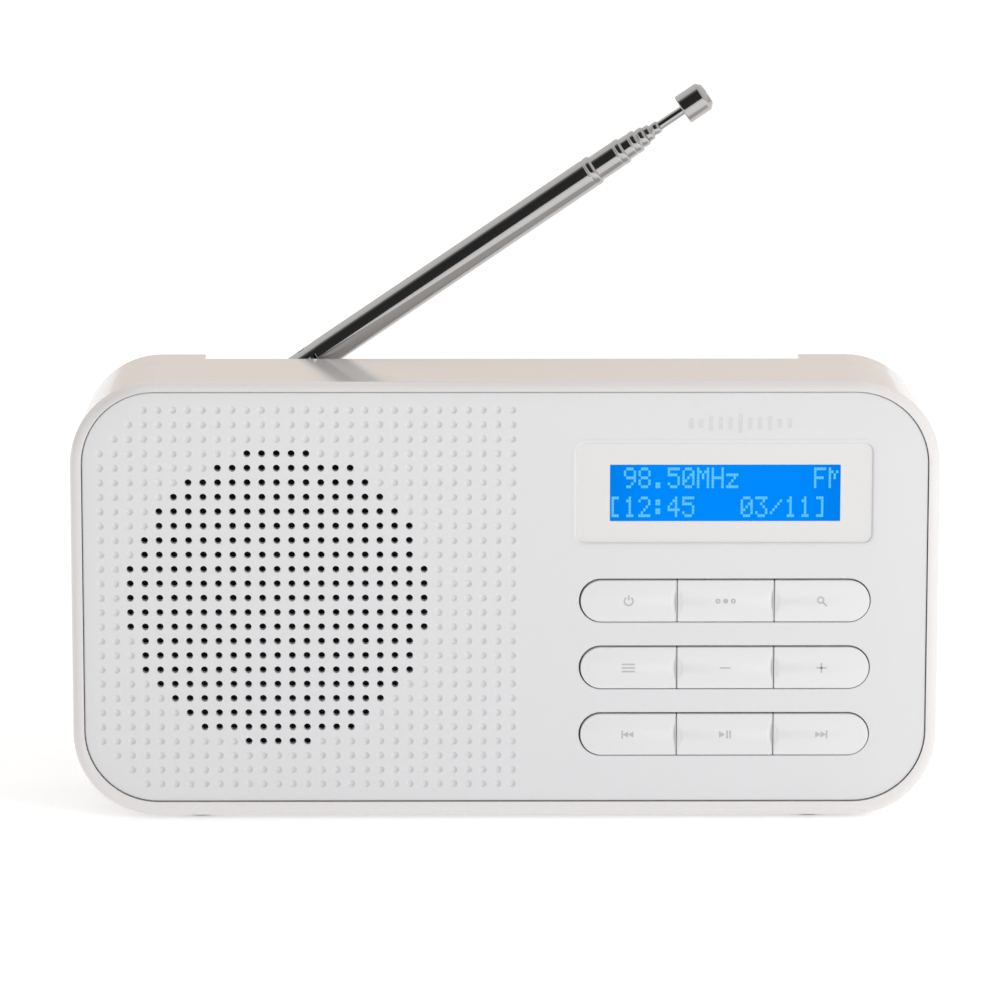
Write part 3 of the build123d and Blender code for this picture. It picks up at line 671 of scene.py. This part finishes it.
class RADIO_OT_display(bpy.types.Operator):
    """Build the lit display and its dots"""

    bl_idname = "radio.display"
    bl_label = "Dot Display"

    def execute(self, context):
        s = context.scene.radio_display
        finish = context.scene.radio_finish
        window_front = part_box("display_window")[0].y
        glass_low, glass_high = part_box("lcd_glass")
        face_y = window_front + 0.12 * MM
        left, right = s.centre_x - s.width / 2, s.centre_x + s.width / 2
        top, bottom = s.centre_z + s.height / 2, s.centre_z - s.height / 2
        bm = bmesh.new()
        # The glass, with a raised pane that fills the mask's opening
        centre = ((glass_low.x + glass_high.x) / 2, (glass_low.z + glass_high.z) / 2)
        face = outline(bm, *centre, glass_high.x - glass_low.x, glass_high.z - glass_low.z,
                       [0.3 * MM] * 4, glass_high.y, segments=3)
        walk(bm, face, [(0.0, glass_high.y - glass_low.y - 0.1 * MM), (0.1 * MM, 0.1 * MM)])
        pane = outline(bm, s.centre_x, s.centre_z, s.width - 0.06 * MM, s.height - 0.06 * MM,
                       [0.1 * MM] * 4, glass_low.y - 0.02 * MM, segments=3)
        walk(bm, pane, [(0.0, glass_low.y - 0.02 * MM - face_y)])
        close_backs(bm)
        settle(bm)
        ground = display_ground(finish, (left, right, bottom, top))
        make_piece("display_glass", bm, ground, "housing", "lcd_glass", "lcd_glass")
        dots = bmesh.new()
        dot_w = s.column / 6
        for row, text in enumerate((s.first, s.second)):
            for column, letter in enumerate(text):
                for line, bits in enumerate(GLYPHS.get(letter, "").split()):
                    for place, bit in enumerate(bits):
                        x = left - 0.15 * MM + column * s.column + (place + 0.5) * dot_w
                        z = top - s.top - row * s.line - (line + 0.5) * s.dot_height
                        if bit == "1" and left < x - dot_w * 0.4 and x + dot_w * 0.5 < right:
                            self.dot(dots, x, z, face_y, dot_w * 0.92, s.dot_height * 0.92)
        make_piece("display_dots", dots, display_dots(finish), "housing", "lcd_glass")
        return {"FINISHED"}

    @staticmethod
    def dot(bm, x, z, y, width, height):
        """One lit dot: a thin tile."""
        matrix = Matrix.Translation((x, y - 0.015 * MM, z)) @ Matrix.Diagonal((width, 0.03 * MM, height, 1))
        bmesh.ops.create_cube(bm, size=1.0, matrix=matrix)


# --- Keys --------------------------------------------------------------------------------------------

def bar(bm, x, z, y, width, height, tilt=0.0):
    """A flat printed bar."""
    size = Matrix.Diagonal((width, height, PRINT_THICK, 1))
    matrix = facing(x, z, y) @ Matrix.Rotation(tilt, 4, "Z") @ size
    bmesh.ops.create_cube(bm, size=1.0, matrix=matrix)


def ring(bm, x, z, y, radius, width, start=0.0, sweep=tau):
    """A flat printed ring or arc, spun from a short edge."""
    verts = [bm.verts.new((r * cos(start), r * sin(start), 0)) for r in (radius - width, radius)]
    edge = bm.edges.new(verts)
    bmesh.ops.spin(bm, geom=verts + [edge], cent=(0, 0, 0), axis=(0, 0, 1), angle=sweep, steps=24,
                   use_merge=sweep > 6.28, use_duplicate=False)
    fresh = [v for v in bm.verts if not v.tag]
    faces = list({f for v in fresh for f in v.link_faces})
    solid = bmesh.ops.extrude_face_region(bm, geom=faces)["geom"]
    raised = [g for g in solid if isinstance(g, bmesh.types.BMVert)]
    bmesh.ops.translate(bm, vec=(0, 0, PRINT_THICK), verts=raised)
    fresh = [v for v in bm.verts if not v.tag]
    bmesh.ops.transform(bm, matrix=facing(x, z, y), verts=fresh)
    for v in bm.verts:
        v.tag = True


def wedge(bm, x, z, y, size, direction):
    """A flat printed triangle that points left or right."""
    bmesh.ops.create_cone(
        bm, cap_ends=True, segments=3, radius1=size, radius2=size, depth=PRINT_THICK,
        matrix=facing(x, z, y) @ Matrix.Rotation(pi if direction < 0 else 0, 4, "Z")
        @ Matrix.Rotation(-pi / 2, 4, "Z"))


def draw_symbol(bm, name, x, z, y, size):
    """Adds one key's symbol."""
    thin = size * 0.16
    half = size / 2
    if name == "power":
        ring(bm, x, z, y, half, thin, start=radians(125), sweep=radians(290))
        bar(bm, x, z + half * 0.7, y, thin, half)
    elif name == "preset":
        for step in (-1, 0, 1):
            ring(bm, x + step * size * 0.75, z, y, half * 0.5, thin * (1.0 if step else 1.6))
    elif name == "scan":
        ring(bm, x - half * 0.3, z + half * 0.2, y, half * 0.75, thin)
        bar(bm, x + half * 0.55, z - half * 0.65, y, half, thin * 1.2, tilt=radians(-45))
    elif name == "menu":
        for step in (-1, 0, 1):
            bar(bm, x, z + step * size * 0.36, y, size * 1.3, thin)
    elif name in ("minus", "plus"):
        bar(bm, x, z, y, size, thin)
        if name == "plus":
            bar(bm, x, z, y, thin, size)
    elif name in ("back", "forward"):
        way = -1 if name == "back" else 1
        wedge(bm, x - way * half * 0.7, z, y, half * 0.72, way)
        wedge(bm, x + way * half * 0.35, z, y, half * 0.72, way)
        bar(bm, x + way * half * 1.15, z, y, thin, size * 0.8)
    else:
        wedge(bm, x - half * 0.7, z, y, half * 0.8, 1)
        for step in (0.5, 1.1):
            bar(bm, x + step * half, z, y, thin * 1.1, size * 0.8)


class RADIO_OT_keys(bpy.types.Operator):
    """Build the nine keys with their dishes and symbols"""

    bl_idname = "radio.keys"
    bl_label = "Keys"

    def execute(self, context):
        s = context.scene.radio_keys
        panel = context.scene.radio_panel
        material = key_white(context.scene.radio_finish)
        printed = symbol_print(context.scene.radio_finish)
        height = panel.slot_height - 2 * s.gap
        for row in KEY_ROWS:
            centre_x, z, dividers = row_place(row)
            z -= s.shift
            left_end = centre_x - panel.slot_width / 2 + s.gap + s.shift
            right_end = centre_x + panel.slot_width / 2 - s.gap + s.shift
            edges = [left_end, dividers[0] - s.split / 2, dividers[0] + s.split / 2,
                     dividers[1] - s.split / 2, dividers[1] + s.split / 2, right_end]
            for column, name in enumerate(row):
                left, right = edges[2 * column], edges[2 * column + 1]
                self.key(name, column, left, right, z, height, s, dividers, material)
                marks = bmesh.new()
                face_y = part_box(f"key_{name}")[0].y - PRINT_LIFT
                draw_symbol(marks, name, (left + right) / 2, z, face_y, s.symbol)
                settle(marks)
                make_piece(f"symbol_{name}", marks, printed, f"key_{name}", "key_plastic")
        return {"FINISHED"}

    @staticmethod
    def key(name, column, left, right, z, height, s, dividers, material):
        """One key: cap, flange and stem."""
        low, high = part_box(f"key_{name}")
        tiny, end = 0.2 * MM, height / 2 * 0.999
        radii = [end if column == 0 else tiny, end if column == 2 else tiny] * 2
        radii = [radii[0], radii[1], radii[1], radii[0]]
        wall_back = s.cap_back
        bm = bmesh.new()
        cap = outline(bm, (left + right) / 2, z, right - left, height, radii, wall_back, segments=14)
        walk(bm, cap, [(0.0, wall_back - low.y - s.edge_round)] + rounding(s.edge_round, 4))
        # Cut the face into strips, then press in the dishes
        face_y = low.y
        for divider in dividers:
            for side in (-1, 1):
                for step in range(1, 8):
                    x = divider + side * (s.split / 2 + s.dish_width * step / 7)
                    slice_face(bm, face_y, (x, 0, 0), (1, 0, 0), left, right)
        for step in range(-6, 7):
            slice_face(bm, face_y, (0, 0, z + s.dish_height * step / 6), (0, 0, 1), left, right)
        for vert in bm.verts:
            if abs(vert.co.y - face_y) < 1e-7:
                for divider in dividers:
                    reach = hypot((vert.co.x - divider) / (s.dish_width + s.split / 2),
                                  (vert.co.z - z) / s.dish_height)
                    if reach < 1:
                        vert.co.y += s.dish_depth * (1 - reach ** 2)
        # Flange and stem
        flange = outline(bm, (low.x + high.x) / 2, z, high.x - low.x, high.z - low.z,
                         [min(r, tiny) if r < end else (high.z - low.z) / 2 * 0.999 for r in radii],
                         wall_back + s.flange, segments=10)
        walk(bm, flange, [(0.0, s.flange)])
        close_backs(bm)
        stem_x = (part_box(f"plunger_{name}")[0].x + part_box(f"plunger_{name}")[1].x) / 2
        bmesh.ops.create_cone(bm, cap_ends=True, segments=24, radius1=1.5 * MM, radius2=1.5 * MM,
                              depth=high.y - wall_back - s.flange,
                              matrix=facing(stem_x, z, (high.y + wall_back + s.flange) / 2))
        settle(bm)
        make_piece(f"key_cap_{name}", bm, material, f"key_{name}", "key_plastic", f"key_{name}")


def slice_face(bm, face_y, place, normal, left, right):
    """Cuts the flat front of a key along a plane."""
    if normal[0] and not left < place[0] < right:
        return
    faces = [f for f in bm.faces if all(abs(v.co.y - face_y) < 1e-7 for v in f.verts)]
    geometry = list({e for f in faces for e in f.edges}) + list({v for f in faces for v in f.verts}) + faces
    bmesh.ops.bisect_plane(bm, geom=geometry, dist=1e-8, plane_co=place, plane_no=normal)


# --- Antenna -----------------------------------------------------------------------------------------

def antenna_elevation():
    """The antenna's angle over the table."""
    along = next(Vector(j["axis"]) for j in frame["joints"] if j["name"] == "whip_slide")
    return atan2(along.z, along.x)


def mast_matrix():
    """From the antenna's own axis, +Z along it, to the frame, with its zero at the pivot."""
    joints = {j["name"]: j for j in frame["joints"]}
    pivot = Vector(joints["antenna_swing"]["pos_m"])
    along = Vector(joints["whip_slide"]["axis"]).normalized()
    across = Vector(joints["antenna_fold"]["axis"]).normalized()
    deep = along.cross(across)
    turn = Matrix((across, deep, along)).transposed().to_4x4()
    return Matrix.Translation(pivot) @ turn


def along_mast(node, matrix):
    """How far a turned node reaches along the mast, and its radius, read from its vertices."""
    back = matrix.inverted()
    places = [back @ v.co for v in NODES[node].data.vertices]
    return min(p.z for p in places), max(p.z for p in places), max(hypot(p.x, p.y) for p in places)


class RADIO_OT_antenna(bpy.types.Operator):
    """Build the telescopic antenna"""

    bl_idname = "radio.antenna"
    bl_label = "Antenna"

    def execute(self, context):
        s = context.scene.radio_antenna
        chrome = bright_chrome(context.scene.radio_finish)
        place = mast_matrix()
        spans = [along_mast(f"antenna_tube_{n}", place) for n in range(1, 7)]
        rod_span = along_mast("antenna_rod", place)
        tip_span = along_mast("antenna_tip", place)
        for number, (start, end, reach) in enumerate(spans, start=1):
            outer = spans[0][2] - s.step * (number - 1)
            inner = outer - s.wall
            mouth = outer - s.step + 0.03 * MM
            flare = reach if number > 1 else outer
            bm = bmesh.new()
            groove = end - s.collar
            points = [(inner, start), (flare, start)]
            if number > 1:
                points += [(flare, start + 3.0 * MM), (outer - 0.02 * MM, start + 3.2 * MM),
                           (outer - 0.02 * MM, start + 3.4 * MM)]
            points += [
                (outer - 0.03 * MM, groove - 0.55 * MM),
                (outer - 0.03 * MM, groove - 0.35 * MM), (outer - 0.10 * MM, groove - 0.22 * MM),
                (outer - 0.11 * MM, groove - 0.08 * MM), (outer - 0.02 * MM, groove + 0.05 * MM),
                (outer, groove + 0.2 * MM), (outer, end - 0.45 * MM), (outer - 0.06 * MM, end - 0.22 * MM),
                (outer - 0.16 * MM, end - 0.06 * MM), (mouth + 0.06 * MM, end), (mouth, end - 0.08 * MM),
                (mouth, end - 1.2 * MM), (inner, end - 1.5 * MM), (inner, start),
            ]
            lathe(bm, points, s.steps, place)
            settle(bm)
            body = "antenna_mast" if number == 1 else f"antenna_section_{number}"
            make_piece(f"mast_tube_{number}", bm, chrome, body, "antenna_chrome", f"antenna_tube_{number}",
                       smooth=50)
        self.whip(rod_span, tip_span, s, chrome, place)
        return {"FINISHED"}

    @staticmethod
    def whip(rod_span, tip_span, s, chrome, place):
        """The rod with its foot and its tip."""
        start, end, flare = rod_span
        radius = s.rod
        bm = bmesh.new()
        lathe(bm, [(0, start), (flare, start), (flare, start + 3.0 * MM), (radius, start + 3.3 * MM),
                   (radius, start + 3.5 * MM), (radius, end), (0, end)], 32, place)
        settle(bm)
        make_piece("whip_rod", bm, chrome, "antenna_whip", "antenna_chrome", "antenna_rod", smooth=50)
        low, high, r = tip_span
        bm = bmesh.new()
        points = [(radius, low + 0.5 * MM), (radius + 0.3 * MM, low + 0.12 * MM), (r * 0.55, low)]
        points += [(r - 0.22 * MM + 0.22 * MM * sin(a), low + 0.22 * MM - 0.22 * MM * cos(a))
                   for a in (0.0, pi / 6, pi / 3, pi / 2)]
        points += [(r, low + 0.4 * MM)]
        bevel = ((0.0, 1.2), (0.0, 1.0), (0.06, 0.84), (0.84, 0.06), (1.02, 0.0), (1.2, 0.0))
        points += [(r - inset * MM, high - drop * MM) for inset, drop in bevel]
        points += [(r * 0.55, high - 0.12 * MM), (r * 0.3, high - 0.04 * MM), (0, high - 0.02 * MM)]
        points += [(0, low + 0.5 * MM), (radius, low + 0.5 * MM)]
        lathe(bm, points, s.steps, place)
        settle(bm)
        make_piece("whip_tip", bm, chrome, "antenna_whip", "antenna_chrome", "antenna_tip", smooth=50)


# --- Finishes on the CAD nodes -------------------------------------------------------------------------

class RADIO_OT_finishes(bpy.types.Operator):
    """Put a finish on every CAD node that stays"""

    bl_idname = "radio.finishes"
    bl_label = "Finishes"

    def execute(self, context):
        finish = context.scene.radio_finish
        slots = {part["node"]: part["material_slot"] for part in frame["record"]["subparts"]}
        made = {
            "white_shell": shell_white(finish),
            "panel_plastic": panel_white(finish),
            "key_plastic": key_white(finish),
            "window_acrylic": window_mask(finish),
            "antenna_chrome": bright_chrome(finish),
            "foot_rubber": dull("foot_rubber", (0.42, 0.42, 0.41), 0.75, scale=900.0),
            "screw_steel": metal("screw_steel", (0.55, 0.55, 0.56), 0.3),
            "black_cloth": scrim("black_cloth", (0.006, 0.006, 0.006)),
            "speaker_steel": metal("speaker_steel", (0.5, 0.5, 0.52), 0.35),
            "ferrite": dull("ferrite", (0.05, 0.05, 0.055), 0.6, scale=700.0),
            "copper_coil": wound_wire("copper_coil", (0.72, 0.35, 0.15), 0.15 * MM),
            "cone_paper": dull("cone_paper", (0.03, 0.03, 0.03), 0.9, scale=1200.0, depth=0.6),
            "surround_foam": dull("surround_foam", (0.02, 0.02, 0.02), 0.7, scale=2000.0),
            "board_green": circuit_board("board_green"),
            "tinned_steel": metal("tinned_steel", (0.7, 0.7, 0.7), 0.25),
            "chip_black": dull("chip_black", (0.02, 0.02, 0.02), 0.55, scale=2500.0),
            "can_aluminium": metal("can_aluminium", (0.65, 0.65, 0.67), 0.25),
            "lcd_glass": moulded("lcd_glass_edge", (0.05, 0.2, 0.5), 0.2),
            "holder_white": moulded("holder_white", (0.75, 0.75, 0.75), 0.4),
            "jack_black": dull("jack_black", (0.015, 0.015, 0.015), 0.4, scale=1800.0, depth=0.15),
            "contact_nickel": metal("contact_nickel", (0.72, 0.70, 0.64), 0.25),
            "wire_red": moulded("wire_red", (0.45, 0.03, 0.03), 0.4),
            "plunger_black": dull("plunger_black", (0.02, 0.02, 0.02), 0.5, scale=2500.0),
        }
        for node in NODES:
            paint(node, made[slots[node]])
        return {"FINISHED"}


# --- Stage ---------------------------------------------------------------------------------------------

class RADIO_OT_stage(bpy.types.Operator):
    """Set up the floor, lights and camera"""

    bl_idname = "radio.stage"
    bl_label = "Stage"

    def execute(self, context):
        s = context.scene.radio_stage
        self.floor()
        self.sky(context.scene, s)
        self.lights(s)
        camera = bpy.data.cameras.new("camera")
        camera.lens = s.lens
        camera.sensor_width = 36.0
        camera.clip_start = 0.01
        holder = bpy.data.objects.new("camera", camera)
        holder.location = s.camera
        holder.rotation_euler = s.turn
        context.scene.collection.objects.link(holder)
        context.scene.camera = holder
        context.scene.view_settings.view_transform = "Standard"
        return {"FINISHED"}

    @staticmethod
    def floor():
        """A wide pale floor."""
        bm = bmesh.new()
        bmesh.ops.create_grid(bm, x_segments=2, y_segments=2, size=0.5)
        bmesh.ops.scale(bm, vec=(17, 17, 1), verts=bm.verts)
        mesh = bpy.data.meshes.new("floor")
        bm.to_mesh(mesh)
        bm.free()
        f = Finish("floor_white", Roughness=0.9, Specular_IOR_Level=0.0, Emission_Strength=0.33)
        f.set(Base_Color=f.mix(f.noise(3.0), (0.90, 0.90, 0.90), (0.92, 0.92, 0.92)),
              Emission_Color=(1.0, 1.0, 1.0))
        mesh.materials.append(f.material)
        floor = bpy.data.objects.new("floor", mesh)
        bpy.context.scene.collection.objects.link(floor)

    @staticmethod
    def sky(scene, s):
        """A light tent with a dark flag in it."""
        world = bpy.data.worlds.new("tent")
        world.use_nodes = True
        scene.world = world
        tree = world.node_tree
        ground = tree.nodes["Background"]
        coordinates = tree.nodes.new("ShaderNodeTexCoord")
        split = tree.nodes.new("ShaderNodeSeparateXYZ")
        tree.links.new(coordinates.outputs["Generated"], split.inputs[0])
        x, y, z = (Wire(tree, split.outputs[i]) for i in range(3))
        # A dark flag in front of the antenna, seen in its chrome, and a warm wall behind
        elevation = antenna_elevation()
        along = x * cos(elevation) + z * sin(elevation)
        across = z * cos(elevation) - x * sin(elevation)
        flag = ((0.32 - abs(along + 0.08)) * 9.0).clamp() * ((1.25 - across) * 3.0).clamp()
        flag = flag * ((across + 0.58) * 3.0).clamp() * ((0.05 - y) * 5.0).clamp()
        overhead = ((z - 0.45) * 2.0).clamp()
        level = (1.0 - 0.15 * overhead) * (1.0 - 0.95 * flag) * (1.0 + 0.2 * (y * 2.0).clamp_low())
        wall = ((y + 0.1) * 4.0).clamp() * ((0.55 - z) * 3.0).clamp()
        mix = tree.nodes.new("ShaderNodeMix")
        mix.data_type = "RGBA"
        mix.inputs[6].default_value = (1.0, 1.0, 1.0, 1)
        mix.inputs[7].default_value = (0.78, 0.68, 0.60, 1)
        tree.links.new(wall.socket, mix.inputs[0])
        tree.links.new(mix.outputs[2], ground.inputs["Color"])
        tree.links.new((level * s.sky).socket, ground.inputs["Strength"])

    def lights(self, s):
        """A softbox from the upper right, and a fill from the viewer's side."""
        softbox = bpy.data.lights.new("softbox", "AREA")
        softbox.energy = s.softbox
        softbox.shape = "DISK"
        softbox.size = 0.25
        self.aim(softbox, (0.46, -0.50, 0.30))
        fill = bpy.data.lights.new("fill_light", "SUN")
        fill.energy = s.fill
        fill.angle = radians(90)
        self.aim(fill, (-0.25, -1.0, 0.25))

    @staticmethod
    def aim(light, place):
        """Stands a light, turned to the object; it doesn't show in the gloss."""
        holder = bpy.data.objects.new(light.name, light)
        holder.location = place
        holder.rotation_euler = Vector(place).to_track_quat("Z", "Y").to_euler()
        holder.visible_glossy = False
        bpy.context.scene.collection.objects.link(holder)


class RADIO_PT_sidebar(bpy.types.Panel):
    """Lists the steps"""

    bl_label = "Tabletop Radio"
    bl_idname = "RADIO_PT_sidebar"
    bl_space_type = "VIEW_3D"
    bl_region_type = "UI"
    bl_category = "Radio"

    def draw(self, context):
        for operator in OPERATORS:
            self.layout.operator(operator.bl_idname)


SETTINGS = {
    "radio_panel": RadioPanelSettings,
    "radio_keys": RadioKeySettings,
    "radio_display": RadioDisplaySettings,
    "radio_antenna": RadioAntennaSettings,
    "radio_finish": RadioFinishSettings,
    "radio_stage": RadioStageSettings,
}
OPERATORS = (RADIO_OT_stage, RADIO_OT_finishes, RADIO_OT_panel, RADIO_OT_window, RADIO_OT_display,
             RADIO_OT_keys, RADIO_OT_antenna)


def register():
    for group in SETTINGS.values():
        bpy.utils.register_class(group)
    for name, group in SETTINGS.items():
        setattr(bpy.types.Scene, name, PointerProperty(type=group))
    for operator in OPERATORS:
        bpy.utils.register_class(operator)
    bpy.utils.register_class(RADIO_PT_sidebar)


def unregister():
    bpy.utils.unregister_class(RADIO_PT_sidebar)
    for operator in reversed(OPERATORS):
        bpy.utils.unregister_class(operator)
    for name, group in SETTINGS.items():
        delattr(bpy.types.Scene, name)
        bpy.utils.unregister_class(group)


def main():
    register()
    bpy.ops.radio.stage()
    bpy.ops.radio.finishes()
    bpy.ops.radio.panel()
    bpy.ops.radio.window()
    bpy.ops.radio.display()
    bpy.ops.radio.keys()
    bpy.ops.radio.antenna()


if __name__ == "__main__":
    main()
